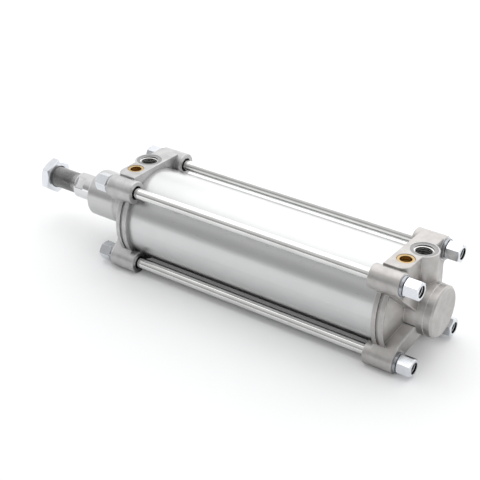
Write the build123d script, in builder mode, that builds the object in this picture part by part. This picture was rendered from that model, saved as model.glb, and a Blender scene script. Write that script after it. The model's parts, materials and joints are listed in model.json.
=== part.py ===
from build123d import *
import os
from math import cos, radians, sin, sqrt

# Tie-rod pneumatic cylinder, double acting, with adjustable cushions at both ends.
# It lies along X with its rod towards +X, ports up, and all lengths are in millimetres.
# The origin is on the axis, in the rear mounting plane, where the rear tie-rod nuts end.

os.makedirs("parts", exist_ok=True)

# Cylinder
bore = 80.0
stroke = 200.0
rod_out = 14.0
tube_wall = 2.5
piston_length = 45.0
rod_diameter = 25.0

# Clearances, all radial or per face
slide_clearance = 0.05
turn_clearance = 0.05
thread_clearance = 0.05
seat_clearance = 0.05
side_clearance = 0.10
seal_touch = 0.02

# Covers: a depth is measured from the mounting plane into the cylinder
seat_depth = 15.5
web_depth = 19.5
web_rim_depth = 27.5
ring_depth = 25.5
ring_length = 11.0
face_depth = 41.5
boss_depth = 43.0
ring_wall = 3.9
ring_groove = 1.5
ring_ridge = 4.0
lip_width = 2.5
arm_root_depth = 9.0
corner_fillet = 1.4
boss_fillet = 1.0
hub_overlap = 2.0
boss_diameter = 21.0
pilot_diameter = 45.0
pilot_depth = 3.0
hub_step = 0.3
rear_pilot_length = 4.5
front_pilot_length = 33.0
pilot_edge = 1.6

# Tie rods, their sleeve nuts and washers
tie_rod_diameter = 10.0
tie_rod_gap = 3.4
tie_rod_hole = 13.0
tie_rod_neck_diameter = 9.2
tie_rod_neck_gap = 0.5
tie_rod_end_gap = 1.0
tie_rod_edge = 0.8
nut_across_flats = 15.0
nut_end_diameter = 14.0
nut_shank_diameter = 12.7
nut_shank_length = 16.0
nut_screw_depth = 21.0
washer_diameter = 18.0
washer_thickness = 2.5
washer_edge = 0.3
rear_nut_turns = (36.0, 33.0, 24.0, 30.0)
front_nut_turns = (15.0, 48.0, 31.0, 2.0)

# Port block on top of each cover
plateau_rise = 1.0
block_depth = 16.0
block_end_depth = 37.0
block_half_width = 31.5
block_corner = 8.0
block_root = 18.0
block_edge = 0.7
port_boss_diameter = 26.0
port_offset = -6.0
rear_port_depth = 20.5
front_port_depth = 23.5
port_thread_diameter = 16.7
port_thread_length = 12.5
port_face_diameter = 23.5
port_face_sink = 0.4
port_passage_diameter = 12.5

# Cushion needles and their collars
needle_depth = 25.5
needle_offset = 15.5
collar_diameter = 15.0
collar_length = 14.0
collar_sink = 0.3
collar_edge = 0.3
needle_head_diameter = 10.0
needle_sink = 4.0
needle_travel = 2.5
needle_stem_diameter = 5.0
needle_tip_diameter = 1.6
needle_cone_length = 3.0
needle_slot_width = 1.4
needle_slot_depth = 1.6
needle_ring_width = 2.0
needle_ring_wall = 1.4
needle_ring_height = 3.0
needle_ring_edge = 0.5
needle_edge = 0.5
needle_slot_turn = 25.0
needle_well_diameter = 6.0
needle_seat_height = 28.0
orifice_diameter = 3.4
bleed_height = 31.0
bleed_diameter = 3.0

# Cushions
cushion_diameter = 34.0
cushion_length = 22.0
cushion_lead = 1.5
chamber_diameter = 37.0
rear_chamber_depth = 12.0
front_chamber_depth = 14.0
cushion_seal_diameter = 44.0
cushion_seal_width = 6.0
cushion_seal_inset = 1.5
cushion_seal_lip = 1.5

# Static seals between tube and covers
tube_setback = 0.5
tube_ring_width = 3.6
tube_ring_wall = 2.7
tube_ring_edge = 1.0
tube_ring_setback = 4.7

# Rod guide in the front cover
bush_wall = 2.5
bush_length = 30.0
bush_edge = 0.4
gland_diameter = 35.0
rod_seal_length = 7.0
rod_seal_notch = 3.0
wiper_length = 9.5
wiper_lip = 1.6
wiper_relief = 1.0

# Piston
piston_clearance = 0.4
piston_seal_width = 6.0
piston_seal_wall = 6.5
piston_seal_notch = 3.0
wear_ring_width = 9.0
wear_ring_wall = 2.4
wear_ring_edge = 0.4
magnet_width = 5.0
magnet_wall = 5.0
magnet_cover = 1.6
magnet_edge = 0.4
rod_seat_diameter = 20.0
rod_tail_diameter = 18.0
rod_tail_length = 15.0
seat_ring_width = 2.4
seat_ring_wall = 1.8
seat_ring_edge = 0.6

# Rod end
shoulder_reach = 46.0
thread_diameter = 20.0
thread_length = 40.0
thread_relief = 3.0
relief_depth = 1.3
end_chamfer = 1.5
flat_width = 22.0
flat_length = 10.0
flat_setback = 2.5
flat_turn = 40.0
rod_nut_width = 30.0
rod_nut_thickness = 10.0
rod_nut_end_diameter = 28.0
rod_nut_turn = 38.0
rod_nut_setback = 0.5
rod_nut_edge = 1.0

# How far a cut runs past the face it starts from
cut_over = 1.0

# Places along X that follow from the sizes above
tube_depth = needle_depth + collar_diameter / 2 + tube_setback
tube_ring_depth = tube_depth + tube_ring_setback
inner_length = stroke + piston_length
overall_length = inner_length + 2 * face_depth
piston_rear = face_depth + rod_out
piston_front = piston_rear + piston_length
shoulder = overall_length + shoulder_reach + rod_out
rod_end = shoulder + thread_length

# The needle's head ends clear of the collar's bore when the needle is screwed right in
needle_head_length = collar_length + collar_sink - needle_sink - needle_travel - side_clearance

# The piston's five lands share what its seals, magnet and wear ring leave
piston_land = (piston_length - 2 * piston_seal_width - magnet_width - wear_ring_width) / 5

# Radii that follow from the sizes above
bore_radius = bore / 2
tube_radius = bore_radius + tube_wall
ring_radius = tube_radius + seat_clearance + ring_wall
rod_radius = rod_diameter / 2
pilot_radius = pilot_diameter / 2
hub_radius = pilot_radius + hub_step
boss_radius = boss_diameter / 2
cushion_radius = cushion_diameter / 2
chamber_radius = chamber_diameter / 2
cushion_seal_radius = cushion_seal_diameter / 2
gland_radius = gland_diameter / 2
piston_radius = bore_radius - piston_clearance
nut_length = seat_depth - washer_thickness

# Tie rods stand on a square, to a tenth of a millimetre
tie_rod_reach = tube_radius + tie_rod_gap + tie_rod_diameter / 2
tie_rod_spacing = round(sqrt(2) * tie_rod_reach, 1)
corner_radius = tie_rod_spacing / sqrt(2)
corner_turn = 45.0
plateau = tie_rod_spacing / 2 + boss_radius + plateau_rise


def station(end, depth):
    """World x of a depth measured from one end's mounting plane."""
    if end == "rear":
        return depth
    return overall_length - depth


def across(x):
    """Plane across the axis at x, with world Y and Z as its own x and y."""
    return Plane(origin=(x, 0, 0), x_dir=(0, 1, 0), z_dir=(1, 0, 0))


def turned(corners):
    """Solid of revolution about the X axis, from its (x, radius) corners."""
    with BuildPart() as piece:
        with BuildSketch(Plane.XY):
            with BuildLine():
                Polyline(*corners, close=True)
            make_face()
        revolve(axis=Axis.X)
    return piece.part


def turned_ring(x_low, x_high, inner, outer, edge):
    """Ring about the X axis with rounded section corners."""
    with BuildPart() as piece:
        with BuildSketch(Plane.XY):
            with Locations(((x_low + x_high) / 2, (inner + outer) / 2)):
                RectangleRounded(x_high - x_low, outer - inner, edge)
        revolve(axis=Axis.X)
    return piece.part


def lip_seal(x_back, x_lips, inner, outer, notch):
    """Lip seal about the X axis, open between its lips on the side of x_lips."""
    middle = (inner + outer) / 2
    side = 1 if x_lips > x_back else -1
    return turned((
        (x_back, inner),
        (x_back, outer),
        (x_lips, outer),
        (x_lips - side * notch, middle),
        (x_lips, inner),
    ))


def write(part, name):
    """Label a finished piece and write its STEP file."""
    part.label = name
    export_step(part, "parts/" + name + ".step")


# Barrel tube
tube_start = station("rear", tube_depth)
tube_end = station("front", tube_depth)
with BuildPart() as barrel_tube:
    with BuildSketch(across(tube_start)):
        Circle(tube_radius)
        Circle(bore_radius, mode=Mode.SUBTRACT)
    extrude(amount=tube_end - tube_start)
write(barrel_tube.part, "barrel_tube")


# End covers
def cover_corner(end):
    """Near top corner boss of a cover, with the arm that ties it to the hub."""
    reach = corner_radius
    seat = station(end, seat_depth)
    root = station(end, arm_root_depth)
    front_of_root = station(end, arm_root_depth - cut_over)
    ring_end = station(end, ring_depth + ring_length)
    boss_end = station(end, boss_depth)
    arm_start = hub_radius - hub_overlap
    outward = -1 if end == "rear" else 1
    with BuildPart() as corner:
        with BuildSketch(across(min(root, ring_end))):
            with Locations(((arm_start + reach) / 2, 0)):
                Rectangle(reach - arm_start, boss_diameter)
            with Locations((reach, 0)):
                Circle(boss_radius)
        extrude(amount=abs(ring_end - root))
        with BuildSketch(across(min(ring_end, boss_end))):
            with Locations((reach, 0)):
                Circle(boss_radius)
        extrude(amount=abs(boss_end - ring_end))
        with BuildSketch(Plane.XY):
            with BuildLine():
                Polyline(
                    (front_of_root, arm_start),
                    (root, arm_start),
                    (seat, reach - boss_radius),
                    (seat, reach + boss_diameter),
                    (front_of_root, reach + boss_diameter),
                    close=True,
                )
            make_face()
        extrude(amount=boss_diameter, both=True, mode=Mode.SUBTRACT)
        flat_faces = corner.faces().filter_by(GeomType.PLANE)
        outer_faces = [face for face in flat_faces if face.normal_at().X * outward > 0.5]
        outer_edges = ShapeList([edge for face in outer_faces for edge in face.edges()])
        round_edges = outer_edges.filter_by(GeomType.CIRCLE)
        side_edges = [edge for edge in outer_edges if abs(edge.center().Z) > boss_radius / 2]
        fillet(ShapeList(round_edges + side_edges), radius=corner_fillet)
        inner_face = corner.faces().sort_by(Axis.X)[-1 if end == "rear" else 0]
        fillet(inner_face.edges(), radius=boss_fillet)
    return corner.part.rotate(Axis.X, corner_turn)


def port_block(end, port_depth):
    """Flat-topped block that carries the port and the cushion needle."""
    near = station(end, block_depth)
    far = station(end, block_end_depth)
    with BuildPart() as block:
        with BuildSketch(Plane.XY.offset(plateau)) as outline:
            with Locations(((near + far) / 2, 0)):
                Rectangle(abs(far - near), 2 * block_half_width)
            outer_corners = outline.vertices().group_by(Axis.X)[0 if end == "rear" else -1]
            fillet(outer_corners.sort_by(Axis.Y)[-1], radius=block_corner)
            with Locations((station(end, port_depth), port_offset)):
                Circle(port_boss_diameter / 2)
        extrude(amount=block_root - plateau)
        fillet(block.faces().sort_by(Axis.Z)[-1].edges(), radius=block_edge)
    return block.part


def make_cover(end, port_depth, pilot_length, chamber_depth):
    """Cast end cover, machined at its pilot, seats, bores and ports."""
    ring_end = ring_depth + ring_length
    groove_radius = ring_radius - ring_groove
    spigot_radius = bore_radius - seat_clearance
    seat_radius = tube_radius + seat_clearance
    outline = (
        (-pilot_length, 0),
        (-pilot_length, pilot_radius - pilot_edge),
        (-pilot_length + pilot_edge, pilot_radius),
        (pilot_depth, pilot_radius),
        (pilot_depth, hub_radius),
        (web_depth, hub_radius),
        (web_rim_depth, ring_radius - lip_width),
        (ring_depth, ring_radius - lip_width / 2),
        (ring_depth, ring_radius),
        (ring_depth + ring_ridge, ring_radius),
        (ring_depth + ring_ridge, groove_radius),
        (ring_end - ring_ridge, groove_radius),
        (ring_end - ring_ridge, ring_radius),
        (ring_end, ring_radius),
        (ring_end, spigot_radius),
        (face_depth, spigot_radius),
        (face_depth, 0),
    )
    body = turned([(station(end, depth), radius) for depth, radius in outline])
    near_top = cover_corner(end)
    far_top = near_top.mirror(Plane.XZ)
    block = port_block(end, port_depth)
    tube_seat = turned((
        (station(end, tube_depth), spigot_radius),
        (station(end, boss_depth + cut_over), spigot_radius),
        (station(end, boss_depth + cut_over), seat_radius),
        (station(end, tube_depth), seat_radius),
    ))
    bores = (
        (face_depth + cut_over, 0),
        (face_depth + cut_over, chamber_radius),
        (face_depth - cushion_seal_inset, chamber_radius),
        (face_depth - cushion_seal_inset, cushion_seal_radius),
        (face_depth - cushion_seal_inset - cushion_seal_width, cushion_seal_radius),
        (face_depth - cushion_seal_inset - cushion_seal_width, chamber_radius),
        (chamber_depth, chamber_radius),
        (chamber_depth, 0),
    )
    chamber = turned([(station(end, depth), radius) for depth, radius in bores])
    groove_half = tube_ring_width / 2 + side_clearance
    ring_groove_cut = turned((
        (station(end, tube_ring_depth - groove_half), bore_radius - tube_ring_wall),
        (station(end, tube_ring_depth + groove_half), bore_radius - tube_ring_wall),
        (station(end, tube_ring_depth + groove_half), bore_radius),
        (station(end, tube_ring_depth - groove_half), bore_radius),
    ))
    top_holes = (
        (port_depth, port_offset, port_face_diameter, port_face_sink),
        (port_depth, port_offset, port_thread_diameter, port_thread_length),
        (port_depth, port_offset, port_passage_diameter, plateau),
        (needle_depth, needle_offset, collar_diameter + 2 * seat_clearance, collar_length + collar_sink),
        (needle_depth, needle_offset, needle_well_diameter, plateau - needle_seat_height),
        (needle_depth, needle_offset, orifice_diameter, plateau),
    )
    with BuildPart() as cover:
        add(body)
        add(near_top)
        add(far_top)
        add(near_top.mirror(Plane.XY))
        add(far_top.mirror(Plane.XY))
        add(block)
        for cut in (tube_seat, chamber, ring_groove_cut):
            add(cut, mode=Mode.SUBTRACT)
        with BuildSketch(across(min(station(end, 0), station(end, boss_depth + cut_over)))):
            with GridLocations(tie_rod_spacing, tie_rod_spacing, 2, 2):
                Circle(tie_rod_hole / 2)
        extrude(amount=boss_depth + cut_over, mode=Mode.SUBTRACT)
        for hole_depth, offset, diameter, length in top_holes:
            with BuildSketch(Plane.XY.offset(plateau)):
                with Locations((station(end, hole_depth), offset)):
                    Circle(diameter / 2)
            extrude(amount=-length, mode=Mode.SUBTRACT)
        with BuildSketch(across(min(station(end, face_depth + cut_over), station(end, needle_depth)))):
            with Locations((needle_offset, bleed_height)):
                Circle(bleed_diameter / 2)
        extrude(amount=face_depth + cut_over - needle_depth, mode=Mode.SUBTRACT)
        if end == "front":
            with BuildSketch(across(station(end, chamber_depth + cut_over))):
                Circle(rod_radius + slide_clearance + bush_wall)
            extrude(amount=cut_over + chamber_depth + pilot_length, mode=Mode.SUBTRACT)
            with BuildSketch(across(station(end, chamber_depth - bush_length))):
                Circle(gland_radius)
            extrude(amount=bush_length - chamber_depth + pilot_length, mode=Mode.SUBTRACT)
    return cover.part


rear_cover = make_cover("rear", rear_port_depth, rear_pilot_length, rear_chamber_depth)
write(rear_cover, "rear_cover")
front_cover = make_cover("front", front_port_depth, front_pilot_length, front_chamber_depth)
write(front_cover, "front_cover")


# Tie rods, one node each, with a thinner neck that each nut holds
half_spacing = tie_rod_spacing / 2
corner_places = (
    ("near_top", half_spacing, half_spacing),
    ("far_top", -half_spacing, half_spacing),
    ("far_bottom", -half_spacing, -half_spacing),
    ("near_bottom", half_spacing, -half_spacing),
)
neck_radius = tie_rod_neck_diameter / 2
nut_shank_depth = nut_length + washer_thickness + nut_shank_length
neck_rear = station("rear", nut_shank_depth + tie_rod_neck_gap)
neck_front = station("front", nut_shank_depth + tie_rod_neck_gap)
rod_start = station("rear", nut_screw_depth + tie_rod_end_gap)
rod_stop = station("front", nut_screw_depth + tie_rod_end_gap)
tie_rod = turned(
    (
        (rod_start, 0),
        (rod_start, neck_radius - tie_rod_edge),
        (rod_start + tie_rod_edge, neck_radius),
        (neck_rear, neck_radius),
        (neck_rear, tie_rod_diameter / 2),
        (neck_front, tie_rod_diameter / 2),
        (neck_front, neck_radius),
        (rod_stop - tie_rod_edge, neck_radius),
        (rod_stop, neck_radius - tie_rod_edge),
        (rod_stop, 0),
    )
)
for corner_name, corner_y, corner_z in corner_places:
    write(Location((0, corner_y, corner_z)) * tie_rod, "tie_rod_" + corner_name)


# Sleeve nuts and washers, four of each at each end
def hex_prism(x_low, x_high, across_flats, end_diameter, turn):
    """Hexagonal prism about the X axis with both ends turned down to a round face."""
    corner = across_flats / sqrt(3)
    drop = (corner - end_diameter / 2) / sqrt(3)
    with BuildPart() as prism:
        with BuildSketch(across(x_low)):
            RegularPolygon(corner, 6, rotation=turn)
        extrude(amount=x_high - x_low)
        with BuildSketch(Plane.XY):
            with BuildLine():
                Polyline(
                    (x_low, 0),
                    (x_low, end_diameter / 2),
                    (x_low + drop, corner),
                    (x_high - drop, corner),
                    (x_high, end_diameter / 2),
                    (x_high, 0),
                    close=True,
                )
            make_face()
        revolve(axis=Axis.X, mode=Mode.INTERSECT)
    return prism.part


def sleeve_nut(end, turn):
    """Nut on the axis, with a round shank that reaches into the cover."""
    outer = station(end, 0)
    seat = station(end, nut_length)
    shank_end = station(end, nut_shank_depth)
    screw_end = station(end, nut_screw_depth)
    screw_radius = tie_rod_diameter / 2 + thread_clearance
    grip_radius = neck_radius + thread_clearance
    head = hex_prism(min(outer, seat), max(outer, seat), nut_across_flats, nut_end_diameter, turn)
    shank_radius = nut_shank_diameter / 2
    shank = turned(((seat, 0), (seat, shank_radius), (shank_end, shank_radius), (shank_end, 0)))
    hole = turned(
        (
            (outer, 0),
            (outer, screw_radius),
            (screw_end, screw_radius),
            (screw_end, grip_radius),
            (shank_end, grip_radius),
            (shank_end, 0),
        )
    )
    with BuildPart() as nut:
        add(head)
        add(shank)
        add(hole, mode=Mode.SUBTRACT)
    return nut.part


def washer(end):
    """Washer on the axis, between the nut and its seat."""
    low = min(station(end, nut_length), station(end, seat_depth))
    return turned_ring(low, low + washer_thickness, tie_rod_hole / 2, washer_diameter / 2, washer_edge)


for end, turns in (("rear", rear_nut_turns), ("front", front_nut_turns)):
    nuts = []
    washers = []
    for (corner_name, corner_y, corner_z), turn in zip(corner_places, turns):
        place = Location((0, corner_y, corner_z))
        nuts.append(place * sleeve_nut(end, turn))
        washers.append(place * washer(end))
    write(Compound(children=nuts), end + "_tie_rod_nuts")
    write(Compound(children=washers), end + "_tie_rod_washers")

# Static seals, cushion seals and cushion adjusters, the same at both ends
for end in ("rear", "front"):
    ring_low = min(
        station(end, tube_ring_depth - tube_ring_width / 2),
        station(end, tube_ring_depth + tube_ring_width / 2),
    )
    tube_ring = turned_ring(
        ring_low,
        ring_low + tube_ring_width,
        bore_radius - tube_ring_wall,
        bore_radius - seal_touch,
        tube_ring_edge,
    )
    write(tube_ring, end + "_tube_o_ring")

    seal_outer = station(end, face_depth - cushion_seal_inset - side_clearance)
    seal_inner = station(end, face_depth - cushion_seal_inset - cushion_seal_width + side_clearance)
    cushion_seal = lip_seal(
        seal_inner,
        seal_outer,
        cushion_radius + slide_clearance,
        cushion_seal_radius - seal_touch,
        cushion_seal_lip,
    )
    write(cushion_seal, end + "_cushion_seal")

    needle_x = station(end, needle_depth)
    collar_top = plateau - collar_sink
    with BuildPart() as collar:
        with BuildSketch(Plane.XY.offset(collar_top)):
            with Locations((needle_x, needle_offset)):
                Circle(collar_diameter / 2)
                Circle(needle_head_diameter / 2 + turn_clearance, mode=Mode.SUBTRACT)
        extrude(amount=-collar_length)
        chamfer(collar.faces().sort_by(Axis.Z)[-1].edges(), length=collar_edge)
    write(collar.part, end + "_needle_collar")

    head_radius = needle_head_diameter / 2
    stem_radius = needle_stem_diameter / 2
    tip_radius = needle_tip_diameter / 2
    orifice_radius = orifice_diameter / 2
    cone_share = (stem_radius - orifice_radius + turn_clearance) / (stem_radius - tip_radius)
    cone_top = needle_seat_height + needle_travel + cone_share * needle_cone_length
    head_top = plateau - needle_sink
    head_base = head_top - needle_head_length
    ring_base = head_base + needle_ring_height
    groove_radius = head_radius - needle_ring_wall
    ring_middle = (groove_radius + head_radius + turn_clearance) / 2
    with BuildPart() as needle:
        with BuildSketch(Plane.XZ):
            with BuildLine():
                Polyline(
                    (0, head_top),
                    (head_radius - needle_edge, head_top),
                    (head_radius, head_top - needle_edge),
                    (head_radius, ring_base + needle_ring_width),
                    (groove_radius, ring_base + needle_ring_width),
                    (groove_radius, ring_base),
                    (head_radius, ring_base),
                    (head_radius, head_base),
                    (stem_radius, head_base),
                    (stem_radius, cone_top),
                    (tip_radius, cone_top - needle_cone_length),
                    (0, cone_top - needle_cone_length),
                    close=True,
                )
            make_face()
        revolve(axis=Axis.Z)
        with BuildSketch(Plane.XY.offset(head_top)):
            Rectangle(needle_head_diameter + cut_over, needle_slot_width, rotation=needle_slot_turn)
        extrude(amount=-needle_slot_depth, mode=Mode.SUBTRACT)
    write(Location((needle_x, needle_offset, 0)) * needle.part, end + "_cushion_needle")

    with BuildPart() as needle_ring:
        with BuildSketch(Plane.XZ):
            with Locations((ring_middle, ring_base + needle_ring_width / 2)):
                RectangleRounded(
                    needle_ring_wall - turn_clearance,
                    needle_ring_width - 2 * turn_clearance,
                    needle_ring_edge,
                )
        revolve(axis=Axis.Z)
    write(Location((needle_x, needle_offset, 0)) * needle_ring.part, end + "_needle_o_ring")

# Rod guide: bush, rod seal and wiper
bush_start = station("front", front_chamber_depth)
bush_end = bush_start + bush_length
rod_bush = turned_ring(
    bush_start,
    bush_end,
    rod_radius + slide_clearance,
    rod_radius + slide_clearance + bush_wall,
    bush_edge,
)
write(rod_bush, "rod_guide_bush")
rod_seal = lip_seal(
    bush_end + rod_seal_length,
    bush_end,
    rod_radius + slide_clearance,
    gland_radius - seal_touch,
    rod_seal_notch,
)
write(rod_seal, "rod_seal")
wiper_start = bush_end + rod_seal_length
wiper_end = wiper_start + wiper_length
rod_wiper = turned((
    (wiper_start, rod_radius + slide_clearance + wiper_relief),
    (wiper_start, gland_radius - seal_touch),
    (wiper_end, gland_radius - seal_touch),
    (wiper_end, rod_radius + wiper_relief + slide_clearance + wiper_lip / 2),
    (wiper_end + wiper_lip, rod_radius + slide_clearance + wiper_lip / 2),
    (wiper_end + wiper_lip, rod_radius + slide_clearance),
    (wiper_end - wiper_lip, rod_radius + slide_clearance),
    (wiper_end - 2 * wiper_lip, rod_radius + slide_clearance + wiper_relief),
))
write(rod_wiper, "rod_wiper")

# Piston: places along the axis, counted from its rear face
rear_seal_start = piston_rear + piston_land
rear_seal_end = rear_seal_start + piston_seal_width
front_seal_end = piston_front - piston_land
front_seal_start = front_seal_end - piston_seal_width
magnet_start = rear_seal_end + piston_land
magnet_end = magnet_start + magnet_width
wear_start = front_seal_start - piston_land - wear_ring_width
wear_end = wear_start + wear_ring_width
seal_floor = bore_radius - piston_seal_wall
wear_floor = bore_radius - wear_ring_wall
magnet_outer = piston_radius - magnet_cover
magnet_inner = magnet_outer - magnet_wall
seat_radius = rod_seat_diameter / 2
rear_half = turned((
    (piston_rear, seat_radius + seat_clearance),
    (piston_rear, piston_radius),
    (rear_seal_start, piston_radius),
    (rear_seal_start, seal_floor),
    (rear_seal_end, seal_floor),
    (rear_seal_end, piston_radius),
    (magnet_end, piston_radius),
    (magnet_end, magnet_outer),
    (magnet_start, magnet_outer),
    (magnet_start, magnet_inner),
    (magnet_end, magnet_inner),
    (magnet_end, seat_radius + seat_clearance),
))
write(rear_half, "piston_rear_half")
seat_ring_radius = seat_radius + seat_ring_wall
front_half = turned((
    (magnet_end, seat_ring_radius),
    (magnet_end, piston_radius),
    (wear_start, piston_radius),
    (wear_start, wear_floor),
    (wear_end, wear_floor),
    (wear_end, piston_radius),
    (front_seal_start, piston_radius),
    (front_seal_start, seal_floor),
    (front_seal_end, seal_floor),
    (front_seal_end, piston_radius),
    (piston_front, piston_radius),
    (piston_front, seat_radius + seat_clearance),
    (magnet_end + seat_ring_width, seat_radius + seat_clearance),
    (magnet_end + seat_ring_width, seat_ring_radius),
))
write(front_half, "piston_front_half")
write(turned_ring(magnet_start, magnet_end, magnet_inner, magnet_outer, magnet_edge), "piston_magnet")
seat_ring = turned_ring(
    magnet_end,
    magnet_end + seat_ring_width,
    seat_radius + seal_touch,
    seat_ring_radius - seal_touch,
    seat_ring_edge,
)
write(seat_ring, "piston_seat_o_ring")
rear_piston_seal = lip_seal(
    rear_seal_end - side_clearance,
    rear_seal_start + side_clearance,
    seal_floor + turn_clearance,
    bore_radius - slide_clearance,
    piston_seal_notch,
)
write(rear_piston_seal, "piston_rear_seal")
front_piston_seal = lip_seal(
    front_seal_start + side_clearance,
    front_seal_end - side_clearance,
    seal_floor + turn_clearance,
    bore_radius - slide_clearance,
    piston_seal_notch,
)
write(front_piston_seal, "piston_front_seal")
wear_ring = turned_ring(
    wear_start + side_clearance,
    wear_end - side_clearance,
    wear_floor + turn_clearance,
    bore_radius - slide_clearance,
    wear_ring_edge,
)
write(wear_ring, "piston_wear_ring")

# Piston rod, with a seat for the piston behind and a wrench flat and a thread in front
relief_radius = thread_diameter / 2 - relief_depth
tail_radius = rod_tail_diameter / 2
tail_end = piston_rear - rod_tail_length
rod_profile = (
    (tail_end, 0),
    (tail_end, tail_radius - end_chamfer),
    (tail_end + end_chamfer, tail_radius),
    (piston_rear, tail_radius),
    (piston_rear, seat_radius),
    (piston_front, seat_radius),
    (piston_front, rod_radius),
    (shoulder - end_chamfer, rod_radius),
    (shoulder, rod_radius - end_chamfer),
    (shoulder, relief_radius),
    (shoulder + thread_relief, relief_radius),
    (shoulder + thread_relief + relief_depth, thread_diameter / 2),
    (rod_end - end_chamfer, thread_diameter / 2),
    (rod_end, thread_diameter / 2 - end_chamfer),
    (rod_end, 0),
)
flat_plane = Plane(
    origin=(shoulder - flat_setback - flat_length, 0, 0),
    x_dir=(0, cos(radians(flat_turn)), sin(radians(flat_turn))),
    z_dir=(1, 0, 0),
)
with BuildPart() as piston_rod:
    with BuildSketch(Plane.XY):
        with BuildLine():
            Polyline(*rod_profile, close=True)
        make_face()
    revolve(axis=Axis.X)
    with BuildSketch(flat_plane):
        with GridLocations(2 * flat_width, 0, 2, 1):
            Rectangle(flat_width, rod_diameter)
    extrude(amount=flat_length, mode=Mode.SUBTRACT)
write(piston_rod.part, "piston_rod")

# Cushion parts on the rod: sleeve in front of the piston, clamping spigot nut behind it
sleeve_end = piston_front + cushion_length
front_sleeve = turned((
    (piston_front, rod_radius + seat_clearance),
    (piston_front, cushion_radius),
    (sleeve_end - 2 * cushion_lead, cushion_radius),
    (sleeve_end, cushion_radius - cushion_lead),
    (sleeve_end, rod_radius + seat_clearance),
))
write(front_sleeve, "front_cushion_sleeve")
spigot_end = piston_rear - cushion_length
rear_spigot = turned((
    (piston_rear, tail_radius + thread_clearance),
    (piston_rear, cushion_radius),
    (spigot_end + 2 * cushion_lead, cushion_radius),
    (spigot_end, cushion_radius - cushion_lead),
    (spigot_end, tail_radius - end_chamfer),
    (tail_end - thread_clearance, tail_radius - end_chamfer),
    (tail_end - thread_clearance, tail_radius + thread_clearance),
))
write(rear_spigot, "rear_cushion_spigot")

# Nut on the rod end
nut_high = rod_end - rod_nut_setback
nut_low = nut_high - rod_nut_thickness
rod_nut_body = hex_prism(nut_low, nut_high, rod_nut_width, rod_nut_end_diameter, rod_nut_turn)
rod_nut_hole = turned((
    (nut_low, 0),
    (nut_low, thread_diameter / 2 + thread_clearance + rod_nut_edge),
    (nut_low + rod_nut_edge, thread_diameter / 2 + thread_clearance),
    (nut_high - rod_nut_edge, thread_diameter / 2 + thread_clearance),
    (nut_high, thread_diameter / 2 + thread_clearance + rod_nut_edge),
    (nut_high, 0),
))
with BuildPart() as rod_nut:
    add(rod_nut_body)
    add(rod_nut_hole, mode=Mode.SUBTRACT)
write(rod_nut.part, "rod_nut")
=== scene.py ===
import json
import logging
import math
from collections.abc import Callable, Sequence
from dataclasses import dataclass
from enum import Enum

import bmesh
import bpy
from mathutils import Matrix, Vector


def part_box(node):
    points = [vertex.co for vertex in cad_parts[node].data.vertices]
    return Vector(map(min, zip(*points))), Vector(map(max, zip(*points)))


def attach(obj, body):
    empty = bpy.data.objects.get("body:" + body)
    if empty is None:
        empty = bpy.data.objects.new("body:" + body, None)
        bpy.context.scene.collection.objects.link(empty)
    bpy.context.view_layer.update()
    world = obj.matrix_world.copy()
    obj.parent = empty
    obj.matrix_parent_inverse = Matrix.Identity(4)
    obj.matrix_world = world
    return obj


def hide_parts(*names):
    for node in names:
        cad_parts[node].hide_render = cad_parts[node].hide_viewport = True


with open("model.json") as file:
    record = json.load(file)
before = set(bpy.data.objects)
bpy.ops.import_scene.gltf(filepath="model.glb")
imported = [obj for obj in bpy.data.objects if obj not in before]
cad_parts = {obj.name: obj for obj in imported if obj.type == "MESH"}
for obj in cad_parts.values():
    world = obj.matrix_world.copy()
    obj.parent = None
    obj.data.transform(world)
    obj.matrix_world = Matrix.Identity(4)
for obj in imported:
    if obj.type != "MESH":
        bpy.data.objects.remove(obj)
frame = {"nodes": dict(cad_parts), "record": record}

log = logging.getLogger("cylinder")

MM = 0.001
WELD = 0.000001
SLIVER = 0.0000001
WHITE = (1.0, 1.0, 1.0)
MOUNTS = {mount["name"]: mount for mount in frame["record"]["mounts"]}


def span(node: str, axis: str) -> tuple[float, float]:
    """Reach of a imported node, in millimetres.

    It is rounded to a tenth, because round pieces are packed as many flat faces.

    Args:
        node: The node's name.
        axis: The letter x, y or z.

    Returns:
        The lowest and the highest place along that axis.
    """
    low, high = (round(getattr(corner, axis) / MM, 1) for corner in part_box(node))
    return low, high


def mount_place(name: str) -> tuple[float, ...]:
    """Place of one of the record's mounts, in millimetres."""
    return tuple(round(value / MM, 3) for value in MOUNTS[name]["pos_m"])


BOLTS = MOUNTS["rear_bolts"]["dims"]
BOLT_SIDE = BOLTS["spacing_x_mm"] / 2.0
CORNERS = (
    (BOLT_SIDE, BOLT_SIDE), (-BOLT_SIDE, BOLT_SIDE), (-BOLT_SIDE, -BOLT_SIDE), (BOLT_SIDE, -BOLT_SIDE),
)
OVERALL = mount_place("front_bolts")[0]
PLATEAU = span("rear_cover", "z")[1]


class End(Enum):
    """The two ends of the cylinder."""

    REAR = "rear"
    FRONT = "front"


class Axis(Enum):
    """Direction of the line that a round zone or a thread lies about."""

    X = (1.0, 0.0, 0.0)
    Z = (0.0, 0.0, 1.0)


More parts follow.
